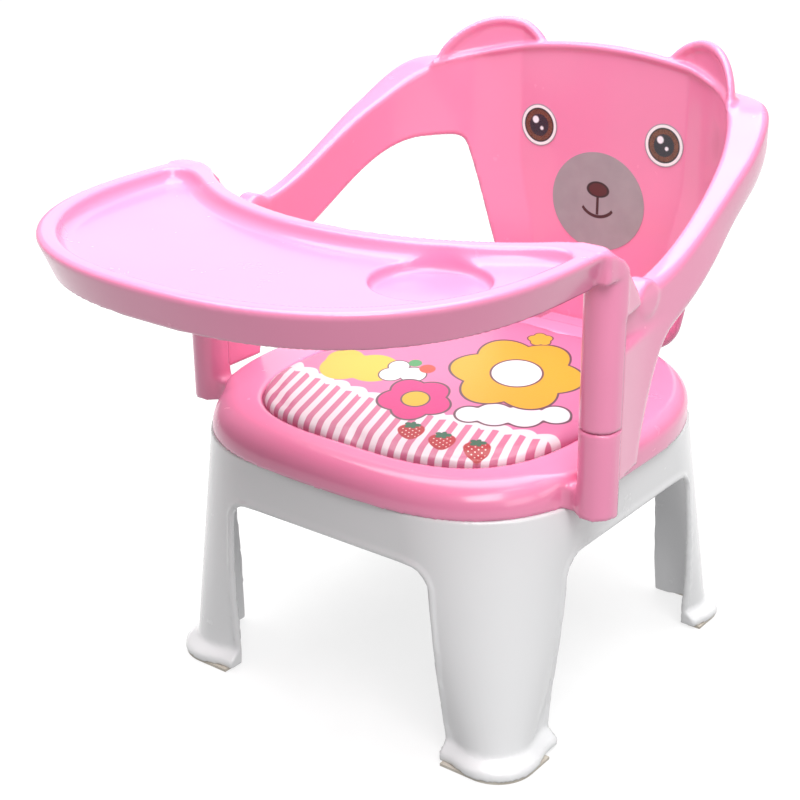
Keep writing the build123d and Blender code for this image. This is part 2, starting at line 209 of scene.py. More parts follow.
# ---------------------------------------------------------------- moulding trees
class Moulding(Graph):
    """Geometry tree that turns a distance rule into a smooth plastic moulding."""

    def __init__(self, name):
        super().__init__(bpy.data.node_groups.new(name, "GeometryNodeTree"))
        self.tree.interface.new_socket("Geometry", in_out="OUTPUT", socket_type="NodeSocketGeometry")
        self.entry = self.tree.nodes.new("NodeGroupInput")
        self.settings = {}
        place = self.node("GeometryNodeInputPosition")
        parts = [self.node("ShaderNodeSeparateXYZ", {}, {0: place}, output) for output in range(3)]
        self.x, self.y, self.z = parts

    def size(self, name, value, kind="NodeSocketFloat"):
        """A named input of the tree."""
        socket = self.tree.interface.new_socket(name, in_out="INPUT", socket_type=kind)
        self.settings[socket.identifier] = value
        found = [out for out in self.entry.outputs if out.identifier == socket.identifier]
        return Term(self, found[0])

    def close(self, distance, low, high, pitch):
        """Ends the tree: a volume from the rule, its skin, then the skin pulled onto the rule."""
        step = self.size("Pitch", pitch)
        most_pull = 0.6
        merge_share = 0.22
        finish = self.size("Finish", None, "NodeSocketMaterial")
        span = [high[axis] - low[axis] for axis in range(3)]
        counts = [int(math.ceil(side / pitch)) + 1 for side in span]
        top = [low[axis] + (counts[axis] - 1) * pitch for axis in range(3)]
        skin = self.node("GeometryNodeVolumeCube", {}, {
            "Density": 1.0 - distance * 100.0, "Min": tuple(low), "Max": tuple(top),
            "Resolution X": counts[0], "Resolution Y": counts[1], "Resolution Z": counts[2],
        })
        skin = self.node("GeometryNodeVolumeToMesh", {}, {"Volume": skin, "Threshold": 1.0})
        normal = self.node("GeometryNodeInputNormal")
        for turn in range(2):
            pull = highest(lowest(distance, step * most_pull), step * -most_pull) * -1.0
            shift = self.node("ShaderNodeVectorMath", {"operation": "SCALE"}, {0: normal, 3: pull})
            skin = self.node("GeometryNodeSetPosition", {}, {"Geometry": skin, "Offset": shift})
        merge_distance = step * merge_share
        skin = self.node("GeometryNodeMergeByDistance", {}, {"Geometry": skin, "Distance": merge_distance})
        skin = self.node("GeometryNodeSetShadeSmooth", {}, {"Geometry": skin})
        skin = self.node("GeometryNodeRealizeInstances", {}, {"Geometry": skin})
        skin = self.node("GeometryNodeSetMaterial", {}, {"Geometry": skin, "Material": finish})
        leave = self.tree.nodes.new("NodeGroupOutput")
        self.tree.links.new(skin.socket, leave.inputs[0])

    def make(self, name, material):
        """Runs the tree and returns its result as a plain mesh object."""
        host = bpy.data.objects.new(name + "_host", bpy.data.meshes.new(name + "_host"))
        bpy.context.scene.collection.objects.link(host)
        modifier = host.modifiers.new("Moulding", "NODES")
        modifier.node_group = self.tree
        for identifier, value in self.settings.items():
            modifier[identifier] = material if value is None else value
        host.update_tag()
        depsgraph = bpy.context.evaluated_depsgraph_get()
        mesh = bpy.data.meshes.new_from_object(host.evaluated_get(depsgraph))
        mesh.name = name
        host.modifiers.remove(modifier)
        bpy.data.objects.remove(host)
        if not mesh.polygons:
            raise RuntimeError("the tree for " + name + " gave no faces")
        piece = bpy.data.objects.new(name, mesh)
        bpy.context.scene.collection.objects.link(piece)
        return piece


def base_rule(shape, sizes):
    """Stool base: tapered square tub whose rounded corners widen upward, with four arches."""
    x, y, z = abs(shape.x), shape.y, shape.z
    wall = shape.size("Wall", sizes.wall)
    share = z / seat_bottom
    half_width = 0.145 + 0.005 * share
    front = 0.148 + 0.007 * share
    rear = 0.146 - 0.008 * share
    corner = 0.020 + 0.068 * share
    middle = (rear - front) * 0.5
    half_depth = (rear + front) * 0.5
    along = abs(y - middle)
    side = x - (half_width - corner)
    end = along - (half_depth - corner)
    fade = 1.0 - rise(z, 0.07, 0.165)
    inset = shape.size("Wing inset", 0.0042) * fade
    core = reach(highest(side + inset, 0.0), highest(end + inset, 0.0))
    core = core + lowest(highest(side, end) + inset, 0.0) - corner
    pillar = reach(side, end) - corner
    body = lowest(core, pillar, inset * 2.2 + 0.0002)
    arch_height = 0.142
    arch_round = shape.size("Arch corner", 0.014)
    climb = z / arch_height
    front_arch = rounded(x - (0.095 - 0.010 * climb), z - arch_height, arch_round)
    ahead = -y - (0.091 - 0.007 * climb)
    behind = (y - (0.103 - 0.025 * climb)) * 0.98
    side_arch = rounded(highest(ahead, behind), z - arch_height, arch_round)
    flare = shape.size("Foot flare", 0.009) * (1.0 - rise(z, 0.006, 0.0155))
    bead_line = 0.0022
    bead_front = 1.0 - rise(abs(front_arch - bead_line), 0.0012, 0.0026)
    bead_side = 1.0 - rise(abs(side_arch - bead_line), 0.0012, 0.0026)
    bead = 0.0011 * highest(bead_front, bead_side) * rise(z, 0.010, 0.02)
    outside = highest(body - flare - bead, z - seat_bottom)
    hollow = highest(body + wall, z - (seat_bottom - wall))
    result = highest(outside, -hollow)
    for arch in (front_arch, side_arch):
        result = highest(result, -arch, 0.0016)
    pad_thickness = 0.002
    return highest(result, pad_thickness - z)


def egg(x, y, middle, half_width, front_reach, rear_reach):
    """Distance from a seat-shaped outline: squarer in front of its middle than behind it."""
    along = y - middle
    rear = oval(abs(x), highest(along, 0.0), half_width, rear_reach, 2.3)
    front = oval(abs(x), highest(-along, 0.0), half_width, front_reach, 3.2)
    behind = along > 0.0
    return front + (rear - front) * behind


def cushion_outline(x, y, grow):
    """Distance from the plan outline of the cushion."""
    return egg(x, y, 0.005, 0.120 + grow, 0.133 + grow, 0.125 + grow)


def seat_rule(shape, sizes):
    """Seat pan: rolled rim, cushion recess, two post sockets and a rear mounting block."""
    x, y, z = abs(shape.x), shape.y, shape.z
    wall = shape.size("Wall", sizes.wall)
    roll = shape.size("Rim roll", 0.012) + 0.007 * (1.0 - rise(y, -0.13, -0.04))
    beside = rise(x, 0.11, 0.14) * rise(y, -0.105, -0.082) * (1.0 - rise(y, -0.026, -0.004))
    roll = roll - 0.010 * beside
    plan = egg(x, y, 0.010, 0.155, 0.170, 0.153)
    recess = rounded(cushion_outline(x, y, 0.0015), recess_floor - z, 0.0015)
    solid = highest(rounded(plan, z - seat_top, roll), -recess, 0.004)
    boss = rounded(half_round(x, y, post_radius, post_seam), z - seat_high.z, 0.0012)
    bridge = rounded(highest(abs(y - post_y) - 0.006, x - post_x), z - recess_floor, 0.003)
    bridge = highest(bridge, 0.13 - x)
    body = lowest(solid, bridge, 0.006)
    block = highest(x - 0.040, highest(y - (panel_face - fit_gap), 0.14 - y))
    body = lowest(body, rounded(block, z - recess_floor, 0.002), 0.006)
    body = lowest(body, boss, 0.007)
    body = highest(body, -(solid + wall))
    bore = highest(half_round(x, y, bore_radius, post_seam + 0.003), (seat_bottom + wall) - z)
    body = highest(body, -bore)
    return highest(body, seat_bottom - z)


def back_rule(shape, sizes):
    """Backrest: one U-shaped band cut to panel, ears, arms and columns, with the post guides."""
    x, y, z = abs(shape.x), shape.y, shape.z
    wall = shape.size("Wall", sizes.wall)
    reach_back = wrap_reach - 0.0045 * (1.0 - rise(z, 0.25, 0.33))
    space = highest(oval(x, highest(y, 0.0), wrap_half_width, reach_back, 2.7), y - panel_face)
    power = 3.0 + 1.5 * rise(z, 0.322, 0.372)
    panel_rear = panel_face + panel_thickness
    outer = highest(oval(x, highest(y, 0.0), arm_outside, panel_rear + 0.001, power), y - panel_rear)

    arm_top = 0.319 + 0.066 * rise(y, -0.035, 0.155) + 0.012 * rise(y, 0.095, 0.165)
    arm_low = 0.279 + 0.058 * rise(y, -0.010, 0.135)
    climb = highest(z - 0.205, 0.0)
    column_rear = -0.040 + 0.28 * climb + 2.5 * climb * climb
    below = lowest((arm_low - z) * 0.92, y - column_rear, 0.030)
    top_edge = (z - arm_top) * 0.92
    hull = rounded(rounded(outer, top_edge, shape.size("Arm round", 0.0065)), below, 0.0110)
    arm = highest(hull, 0.089 - x, 0.012)

    waist = 0.0905 + 0.25 * (z - 0.246)
    arc = 0.417 - 1.25 * x * x
    panel = rounded((x - waist) * 0.97, 0.1806 - z, 0.030)
    panel = highest(panel, z - arc)
    sheet = rounded(space - panel_thickness, panel, 0.0022)
    body = rounded(lowest(sheet, arm, 0.012), -space, 0.0030)
    bead = shape.size("Rim bead", 0.0022) * (1.0 - rise(x, 0.088, 0.114))
    rim = reach(space + 0.0004, z - arc + 0.003) - bead
    body = lowest(body, rim, 0.004)
    spread = reach(x - ear_x, z - ear_z)
    ear = highest(space - 0.0075, 0.0035 - space)
    ear = rounded(ear, spread - 0.041, 0.0022)
    ear = highest(ear, arc - 0.012 - z)
    lip = reach(space - 0.0036, spread - 0.0385) - shape.size("Ear lip", 0.0026)
    lip = highest(lip, arc - 0.002 - z)
    body = lowest(body, lowest(ear, lip, 0.005), 0.004)

    shaft = highest(x - (0.1788 - 0.18 * (y - post_seam)), 0.157 - x)
    shaft = rounded(shaft, highest(y - column_rear, z - 0.292), 0.004)
    body = lowest(body, shaft, 0.008)
    hook = reach(y + 0.0345, z - post_top) - 0.012
    hook = rounded(hook, highest(x - arm_outside, wrap_half_width - x), 0.003)
    body = lowest(body, hook, 0.006)

    slot = highest(highest(outer + 0.0055, 0.0035 - space), top_edge + wall)
    inside = lowest(highest(hull + wall, wall - space), slot)
    inside = highest(inside, y - 0.150)
    inside = highest(inside, (post_seam + wall) - y)
    body = highest(body, -inside)
    body = highest(body, -highest(y + 0.049, post_top - z), 0.001)
    body = highest(body, post_seam - y)
    column_bottom = (seat_top + fit_gap) - z - (y > 0.0)
    body = highest(body, highest(back_low.z + 0.0001 - z, column_bottom))
    guide = highest(half_round(x, y, guide_radius, post_seam + 0.003), z - guide_top)
    guide = highest(guide, (seat_bottom + 0.0032) - z)
    return lowest(body, guide)


def tray_plan(x, y, inset, corner=0.010):
    """Distance from the tray outline brought in by an inset."""
    front = oval(x, highest(-0.125 - y, 0.0), 0.178 - inset, 0.181 - inset, 2.45)
    tray = rounded(front, y - (-0.088 - inset), corner)
    hollow = (0.2076 + inset) - reach(x, y - 0.0576)
    return rounded(tray, hollow, corner)


def tray_rule(shape, sizes):
    """Tray: skirted dish with a cup recess, rear saddles and two sleeves for the guides."""
    x, y, z = abs(shape.x), shape.y, shape.z
    wall = shape.size("Wall", sizes.wall)
    top = tray_high.z
    underside = top - 0.024
    saddle_bottom = post_top + fit_gap
    sleeve_seam = post_seam - fit_gap
    draft = highest((top - z) * 0.375, 0.0)
    body = rounded(tray_plan(x, y, draft), z - top, shape.size("Rim round", 0.0045))
    floor = top - shape.size("Dish depth", sizes.dish_depth)
    dish = rounded(tray_plan(x, y, 0.0125, 0.022) + (top - z) * 0.3, floor - z, 0.006)
    body = highest(body, -dish, 0.004)
    cup = reach(shape.x - cup_x, y - cup_y) - shape.size("Cup radius", 0.036)
    cup = rounded(cup, (floor - 0.007) - z, 0.004)
    body = highest(body, -cup, 0.004)
    shell = highest(highest(body, underside - z), -(body + wall))
    slope = (z - 0.3185 + 1.02 * (y + 0.0505)) * 0.70
    saddle = highest(highest(y + 0.0495, z - (top - 0.002)), slope, 0.010)
    front = lowest(-0.083 - y, highest(-0.100 - y, underside + 0.003 - z))
    saddle = highest(saddle, highest(front, saddle_bottom - z))
    taper = 0.18 * highest(y - post_seam, 0.0)
    saddle = rounded(saddle, highest(x - (0.1798 - taper), 0.154 - x), 0.003)
    notch = rounded(half_round(x, y, 0.0158, post_y + 0.004), z - (underside + 0.009), 0.007)
    shell = highest(shell, -notch)
    shell = lowest(shell, saddle, 0.008)
    sleeve = highest(half_round(x, y, post_radius, sleeve_seam), z - (underside + 0.016))
    sleeve = highest(sleeve, slope)
    shell = lowest(shell, sleeve, 0.003)
    shell = highest(shell, (seat_high.z + fit_gap) - z)
    bore = highest(half_round(x, y, bore_radius, post_seam + 0.003), z - (guide_top + fit_gap))
    shell = highest(shell, -bore)
    behind_seam = highest(sleeve_seam - y, z - saddle_bottom)
    return highest(shell, -behind_seam)


# ---------------------------------------------------------------- finishes
def paint(graph, under, over, mask):
    """Lays one colour over another where the mask is 1."""
    return graph.node("ShaderNodeMix", {"data_type": "RGBA"}, {0: mask, 6: under, 7: over}, 2)


def inside(distance, edge):
    """Mask that is 1 inside a shape and fades to 0 over the edge width."""
    return lowest(highest(0.5 - distance / edge, 0.0), 1.0)


class Finish(Graph):
    """A procedural material read from Object coordinates."""

    def __init__(self, name):
        material = bpy.data.materials.new(name)
        material.use_nodes = True
        super().__init__(material.node_tree)
        self.material = material
        self.surface = material.node_tree.nodes["Principled BSDF"]
        self.place = self.node("ShaderNodeTexCoord", {}, {}, 3)
        parts = [self.node("ShaderNodeSeparateXYZ", {}, {0: self.place}, output) for output in range(3)]
        self.x, self.y, self.z = parts

    def noise(self, scale, detail, roughness=0.5):
        """Soft noise; scale is in cycles per metre."""
        return self.node(
            "ShaderNodeTexNoise", {},
            {"Vector": self.place, "Scale": scale, "Detail": detail, "Roughness": roughness},
        )

    def blend(self, factor, start, first, end, second):
        """Colour that runs from the first at the start value to the second at the end value."""
        return self.node("ShaderNodeValToRGB", {"stops": ((start, first), (end, second))}, {0: factor})

    def set(self, **values):
        """Puts values or links on the surface shader's own sockets."""
        for name, value in values.items():
            socket = self.surface.inputs[name.replace("_", " ")]
            if isinstance(value, Term):
                self.tree.links.new(value.socket, socket)
            elif socket.type == "RGBA":
                socket.default_value = (*value, 1.0)
            else:
                socket.default_value = value

    def bump(self, height, depth, strength=1.0):
        """Raises the surface by height times depth in metres."""
        normal = self.node("ShaderNodeBump", {}, {"Height": height, "Distance": depth, "Strength": strength})
        self.set(Normal=normal)


def moulded_plastic(name, colour, roughness, drift):
    """Glossy injection-moulded plastic: faint flow marks, orange peel and rubbed patches."""
    finish = Finish(name)
    flow = finish.noise(7.0, 3.0)
    rub = finish.noise(38.0, 4.0, 0.6)
    peel = finish.noise(420.0, 1.0)
    deep = tuple(part * (1 - drift) for part in colour)
    light = tuple(min(1.0, part * (1 + drift * 0.6)) for part in colour)
    tone = finish.blend(flow, 0.35, deep, 0.68, light)
    finish.set(
        Base_Color=tone, Roughness=roughness - 0.02 + 0.05 * rub, Coat_Weight=0.4, Coat_Roughness=0.10,
        IOR=1.49,
    )
    finish.bump(peel, 0.00003, 0.35)
    return finish.material


def eye_sticker(name, centre_x, centre_z, radius):
    """Printed eye: white ring, brown iris, black pupil and two highlights."""
    finish = Finish(name)
    u = (finish.x - centre_x) / radius
    v = (finish.z - centre_z) / radius
    far = reach(u, v)
    grain = finish.noise(900.0, 2.0)
    brown = finish.blend(finish.noise(260.0, 3.0), 0.3, (0.10, 0.030, 0.012), 0.7, (0.19, 0.062, 0.026))
    white = (0.93, 0.93, 0.94, 1)
    shine = (0.95, 0.96, 1.0, 1)
    tone = paint(finish, white, (0.012, 0.008, 0.010, 1), inside(far - 0.82, 0.03))
    tone = paint(finish, tone, brown, inside(far - 0.75, 0.03))
    tone = paint(finish, tone, (0.010, 0.010, 0.018, 1), inside(far - 0.53, 0.05))
    for shine_u, shine_v, size in ((-0.20, 0.24, 0.17), (0.15, -0.13, 0.09)):
        tone = paint(finish, tone, shine, inside(reach(u - shine_u, v - shine_v) - size, 0.06))
    tone = paint(finish, tone, (0.34, 0.30, 0.33, 1), inside(0.955 - far, 0.03))
    finish.set(Base_Color=tone, Roughness=0.24 + 0.08 * grain, Coat_Weight=0.4, Coat_Roughness=0.1)
    finish.bump(grain, 0.00003, 0.4)
    return finish.material


def muzzle_sticker(name, centre_z, half_width):
    """Printed muzzle: grey disc with a nose, a short line and a smile."""
    finish = Finish(name)
    u = finish.x
    v = finish.z - centre_z
    grain = finish.noise(500.0, 3.0)
    mottle = finish.noise(60.0, 3.0)
    tone = finish.blend(mottle, 0.3, (0.345, 0.305, 0.325), 0.7, (0.385, 0.345, 0.365))
    ink = (0.045, 0.008, 0.008, 1)
    line = highest(abs(u) - 0.0012, abs(v + 0.003) - 0.0075)
    arc = abs(reach(u, v - 0.0061) - 0.0181) - 0.0013
    smile = highest(arc, abs(u) - 0.0130)
    smile = highest(smile, v + 0.004)
    ends = reach(abs(u) - 0.0127, v + 0.0066) - 0.0013
    strokes = lowest(lowest(line, smile), ends)
    tone = paint(finish, tone, ink, inside(strokes, 0.0005))
    nose = (reach(u / 0.0103, (v - 0.0095) / (0.0064 + 0.04 * (v - 0.0095))) - 1) * 0.006
    tone = paint(finish, tone, (0.022, 0.005, 0.005, 1), inside(nose, 0.0005))
    tone = paint(finish, tone, (0.085, 0.010, 0.010, 1), inside(nose + 0.0013, 0.0006))
    finish.set(Base_Color=tone, Roughness=0.30 + 0.08 * grain, Coat_Weight=0.25, Coat_Roughness=0.15)
    finish.bump(grain, 0.00003, 0.4)
    return finish.material


def cushion_print(name, ground, accent):
    """Printed soft vinyl: stripes under a scalloped cream edge, berries, clouds and blossoms."""
    finish = Finish(name)
    x, y = finish.x, finish.y
    grain = finish.noise(700.0, 3.0)
    shade = tuple(part * 0.96 for part in ground)
    tone = finish.blend(finish.noise(18.0, 3.0), 0.3, shade, 0.7, ground)
    cream = (0.70, 0.62, 0.65, 1)
    outline = (0.10, 0.055, 0.07, 1)
    soft = 0.0008

    def turned(along_x, along_y):
        """The motifs stand turned on the cushion and are drawn a little tall."""
        turn = math.radians(-33.0)
        across = along_x * math.cos(turn) - along_y * math.sin(turn)
        return across, (along_x * math.sin(turn) + along_y * math.cos(turn)) * 0.72

    u, v = turned(x, y)

    def from_point(centre_x, centre_y):
        across, along = turned(centre_x, centre_y)
        return u - across, v - along

    def disc(centre_x, centre_y, radius):
        return reach(*from_point(centre_x, centre_y)) - radius

    def discs(*rows):
        """Several discs run together into one puffy shape."""
        shape = disc(*rows[0])
        for row in rows[1:]:
            shape = lowest(shape, disc(*row), 0.004)
        return shape

    def blossom(centre_x, centre_y, radius, petals, twist):
        across, along = from_point(centre_x, centre_y)
        angle = finish.maths("ARCTAN2", along, across)
        edge = 0.80 + 0.20 * abs(finish.maths("COSINE", (angle + twist) * (petals * 0.5)))
        return reach(across, along) - radius * edge

    def drawn(under, distance, colour, line=0.0009):
        under = paint(finish, under, outline, inside(distance - line, 0.0006))
        return paint(finish, under, colour, inside(distance + line, 0.0006))

    scallop = abs(finish.maths("SINE", x * (math.pi / 0.017))) * 0.0045
    edge = y - (-0.064 + 1.1 * x * x + scallop)
    stripes = finish.maths("SINE", (0.945 * x + 0.326 * y) * (2 * math.pi / 0.0098))
    stripe = lowest(highest(stripes * 4.0 + 0.4, 0.0), 1.0)
    tone = paint(finish, tone, cream, inside(edge, soft))
    tone = paint(finish, tone, (0.52, 0.155, 0.26, 1), stripe * inside(edge + 0.010, soft))

    yellow_cloud = discs((-0.079, -0.036, 0.017), (-0.060, -0.024, 0.019), (-0.088, -0.022, 0.014))
    tone = paint(finish, tone, (0.66, 0.42, 0.045, 1), inside(yellow_cloud, soft))
    small_cloud = lowest(disc(-0.042, -0.026, 0.009), disc(-0.029, -0.017, 0.010))
    small_cloud = lowest(small_cloud, disc(-0.047, -0.010, 0.008))
    tone = drawn(tone, small_cloud, (0.72, 0.71, 0.72, 1), 0.0006)
    tone = paint(finish, tone, (0.55, 0.06, 0.035, 1), inside(disc(-0.027, -0.002, 0.006), soft))
    tone = paint(finish, tone, (0.06, 0.26, 0.09, 1), inside(disc(-0.041, 0.002, 0.005), soft))
    long_cloud = discs(
        (0.060, -0.042, 0.014), (0.078, -0.032, 0.014), (0.094, -0.018, 0.011), (0.046, -0.052, 0.010),
    )
    tone = drawn(tone, long_cloud, (0.72, 0.66, 0.71, 1))

    tone = drawn(tone, blossom(0.000, -0.052, 0.027, 5.0, 0.5), accent + (1,))
    tone = drawn(tone, disc(0.000, -0.052, 0.010), (0.62, 0.34, 0.016, 1), 0.0007)
    tone = drawn(tone, blossom(0.030, 0.030, 0.050, 6.0, 0.2), (0.60, 0.315, 0.014, 1), 0.0010)
    tone = drawn(tone, disc(0.030, 0.030, 0.019), (0.72, 0.70, 0.69, 1), 0.0008)
    tone = drawn(tone, blossom(0.006, 0.098, 0.010, 5.0, 0.9), (0.60, 0.34, 0.02, 1), 0.0006)

    for berry_x, berry_y in ((0.0318, -0.0990), (0.0582, -0.1000), (0.0840, -0.0965)):
        across, along = from_point(berry_x, berry_y)
        body = reach(across / (0.0088 + 0.30 * highest(along, -0.012)), along / 0.0092) - 1
        tone = paint(finish, tone, (0.36, 0.012, 0.018, 1), inside(body, 0.08))
        seeds = finish.maths("SINE", across * 1400.0) * finish.maths("SINE", along * 1400.0)
        tone = paint(finish, tone, (0.72, 0.62, 0.58, 1), inside(body + 0.2, 0.1) * inside(0.72 - seeds, 0.2))
        angle = finish.maths("ARCTAN2", along - 0.0078, across)
        leaf = reach(across, (along - 0.0078) * 1.5)
        leaf = leaf - 0.0062 * (0.6 + 0.4 * abs(finish.maths("COSINE", angle * 2.5)))
        tone = paint(finish, tone, (0.010, 0.11, 0.055, 1), inside(leaf, 0.0006))

    threads = 5200.0
    weave = finish.maths("SINE", x * threads) * finish.maths("SINE", y * threads)
    finish.set(Base_Color=tone, Roughness=0.34 + 0.10 * grain, Coat_Weight=0.15, Coat_Roughness=0.25)
    finish.bump(weave * 0.4 + grain, 0.00010, 0.5)
    return finish.material


def screw_steel(name):
    """Zinc-plated steel with turning marks."""
    finish = Finish(name)
    grain = finish.noise(1500.0, 3.0)
    tone = finish.blend(finish.noise(300.0, 3.0), 0.3, (0.50, 0.50, 0.52), 0.7, (0.64, 0.64, 0.66))
    finish.set(Base_Color=tone, Metallic=1.0, Roughness=0.28 + 0.16 * grain)
    finish.bump(grain, 0.00004, 0.6)
    return finish.material


def pad_rubber(name):
    """Soft off-white rubber with a fine stipple and floor dust."""
    finish = Finish(name)
    dust = finish.noise(70.0, 4.0)
    stipple = finish.noise(1400.0, 1.0)
    tone = finish.blend(dust, 0.3, (0.50, 0.45, 0.38), 0.7, (0.66, 0.61, 0.54))
    finish.set(Base_Color=tone, Roughness=0.66 + 0.16 * dust)
    finish.bump(stipple, 0.00015, 0.7)
    return finish.material


def filling_foam(name):
    """Pale foam filling with open cells."""
    finish = Finish(name)
    cells = finish.noise(900.0, 2.0)
    tone = finish.blend(cells, 0.35, (0.66, 0.63, 0.55), 0.6, (0.82, 0.80, 0.73))
    finish.set(Base_Color=tone, Roughness=0.85 + 0.1 * cells)
    finish.bump(cells, 0.0003, 0.8)
    return finish.material


# ---------------------------------------------------------------- settings
class ChairColours(bpy.types.PropertyGroup):
    pink: bpy.props.FloatVectorProperty(
        name="Pink plastic", description="Colour of the seat, backrest and tray", subtype="COLOR",
        size=3, min=0.0, max=1.0, default=(0.92, 0.275, 0.475),
    )
    white: bpy.props.FloatVectorProperty(
        name="White plastic", description="Colour of the stool base", subtype="COLOR",
        size=3, min=0.0, max=1.0, default=(0.84, 0.84, 0.85),
    )
    ground: bpy.props.FloatVectorProperty(
        name="Cushion ground", description="Colour behind the cushion print", subtype="COLOR",
        size=3, min=0.0, max=1.0, default=(0.60, 0.165, 0.315),
    )
    accent: bpy.props.FloatVectorProperty(
        name="Cushion accent", description="Deep pink of the small blossom", subtype="COLOR",
        size=3, min=0.0, max=1.0, default=(0.52, 0.030, 0.17),
    )
    gloss: bpy.props.FloatProperty(
        name="Roughness", description="Roughness of the moulded plastic", subtype="FACTOR",
        min=0.05, max=0.9, default=0.26,
    )


class ChairSizes(bpy.types.PropertyGroup):
    wall: bpy.props.FloatProperty(
        name="Wall", description="Wall thickness of the mouldings", unit="LENGTH",
        min=0.002, max=0.006, precision=4, default=0.003,
    )
    dish_depth: bpy.props.FloatProperty(
        name="Dish depth", description="Depth of the tray below its rim", unit="LENGTH",
        min=0.004, max=0.015, precision=4, default=0.010,
    )
    puff: bpy.props.FloatProperty(
        name="Cushion swell", description="Most that the cushion swells at any point", unit="LENGTH",
        min=0.0, max=0.01, precision=4, default=0.0028,
    )


def place_moulding(rule, name, node, body, material, pitch):
    """Builds one moulding from its rule and puts it in place of its plain node."""
    low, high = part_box(node)
    shape = Moulding(name)
    distance = rule(shape, bpy.context.scene.chair_sizes)
    margin = Vector((0.006, 0.006, 0.006))
    shape.close(distance, low - margin, high + margin, pitch)
    piece = shape.make(name, material)
    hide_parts(node)
    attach(piece, body)


def coat(node, material):
    """Gives a carried-over node its finish."""
    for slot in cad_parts[node].material_slots:
        slot.material = material


def shared(name, maker, *values):
    """A finish made once and used by several pieces."""
    return bpy.data.materials.get(name) or maker(name, *values)


def pink_plastic():
    colours = bpy.context.scene.chair_colours
    return shared("pink_plastic_finish", moulded_plastic, tuple(colours.pink), colours.gloss, 0.04)


# ---------------------------------------------------------------- operators
class CHAIR_OT_base(bpy.types.Operator):
    """Builds the white stool base with its four arches"""

    bl_idname = "chair.base"
    bl_label = "Stool base"

    def execute(self, context):
        colours = context.scene.chair_colours
        white = shared("white_plastic_finish", moulded_plastic, tuple(colours.white), colours.gloss, 0.02)
        place_moulding(base_rule, "stool_base", "base_frame", "chair", white, 0.0021)
        return {"FINISHED"}


class CHAIR_OT_seat(bpy.types.Operator):
    """Builds the seat pan with its rolled rim and post sockets"""

    bl_idname = "chair.seat"
    bl_label = "Seat pan"

    def execute(self, context):
        place_moulding(seat_rule, "seat_moulding", "seat_pan", "chair", pink_plastic(), 0.0020)
        return {"FINISHED"}


class CHAIR_OT_backrest(bpy.types.Operator):
    """Builds the backrest with its ears, arms and columns"""

    bl_idname = "chair.backrest"
    bl_label = "Backrest"

    def execute(self, context):
        place_moulding(
            back_rule, "backrest_moulding", "backrest", "chair", pink_plastic(), 0.0020,
        )
        return {"FINISHED"}


class CHAIR_OT_tray(bpy.types.Operator):
    """Builds the lift-off tray with its cup recess and sleeves"""

    bl_idname = "chair.tray"
    bl_label = "Tray"

    def execute(self, context):
        place_moulding(tray_rule, "tray_moulding", "tray", "tray", pink_plastic(), 0.0018)
        return {"FINISHED"}


def pad_rule(shape):
    """Cushion before it swells: a thin slab with rounded edges."""
    high = cover_high.z - shape.size("Top gap", 0.0002)
    slab = rounded(cushion_outline(shape.x, shape.y, 0.0003), shape.z - high, 0.0055)
    return rounded(slab, pad_bottom - shape.z, 0.0015)


class CHAIR_OT_cushion(bpy.types.Operator):
    """Builds the seat cushion, swells it and gives it its print"""

    bl_idname = "chair.cushion"
    bl_label = "Seat cushion"

    def execute(self, context):
        scene = context.scene
        colours = scene.chair_colours
        finish = cushion_print("cushion_print_finish", tuple(colours.ground), tuple(colours.accent))
        margin = Vector((0.012, 0.012, 0.008))
        shape = Moulding("cushion_slab")
        distance = pad_rule(shape)
        shape.close(distance, cover_low - margin, cover_high + margin, 0.0028)
        pad = shape.make("seat_cushion", finish)
        start = [vertex.co.copy() for vertex in pad.data.vertices]
        cloth = pad.modifiers.new("Swell", "CLOTH")
        cloth.settings.use_pressure = True
        cloth.settings.uniform_pressure_force = 4.0
        cloth.settings.quality = 5
        cloth.settings.tension_stiffness = 20
        cloth.settings.compression_stiffness = 20
        cloth.settings.effector_weights.gravity = 0.0
        frames = 20
        cloth.point_cache.frame_start = 1
        cloth.point_cache.frame_end = frames
        for number in range(1, frames + 1):
            scene.frame_set(number)
        solved = pad.evaluated_get(context.evaluated_depsgraph_get())
        moved = [vertex.co.copy() for vertex in solved.data.vertices]
        pad.modifiers.remove(cloth)
        scene.frame_set(1)
        limit = scene.chair_sizes.puff
        for vertex, was, now in zip(pad.data.vertices, start, moved):
            step = now - was
            if step.length > limit:
                step = step * (limit / step.length)
            place = was + Vector((0.0, 0.0, step.z))
            place.z = max(place.z, pad_bottom)
            vertex.co = place
        pad.data.update()
        smooth = pad.modifiers.new("Smooth", "SUBSURF")
        smooth.levels = 1
        smooth.render_levels = 1
        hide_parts("cushion_cover")
        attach(pad, "chair")
        coat("cushion_filling", filling_foam("filling_finish"))
        return {"FINISHED"}


class CHAIR_OT_face(bpy.types.Operator):
    """Prints the two eye stickers and the muzzle sticker"""

    bl_idname = "chair.face"
    bl_label = "Face stickers"

    def execute(self, context):
        for node in ("eye_left", "eye_right"):
            low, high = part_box(node)
            centre = (low + high) / 2
            coat(node, eye_sticker(node + "_finish", centre.x, centre.z, (high.x - low.x) / 2))
        centre = (muzzle_low + muzzle_high) / 2
        coat("muzzle_patch", muzzle_sticker("muzzle_finish", centre.z, muzzle_high.x))
        return {"FINISHED"}


class CHAIR_OT_hardware(bpy.types.Operator):
    """Finishes the screws and the non-slip foot pads"""

    bl_idname = "chair.hardware"
    bl_label = "Screws and pads"

    def execute(self, context):
        steel = screw_steel("screw_steel_finish")
        for node in ("seat_screws", "back_screws"):
            coat(node, steel)
        rubber = pad_rubber("pad_rubber_finish")
        for end in ("front", "rear"):
            for side in ("left", "right"):
                coat("foot_pad_" + end + "_" + side, rubber)
        return {"FINISHED"}


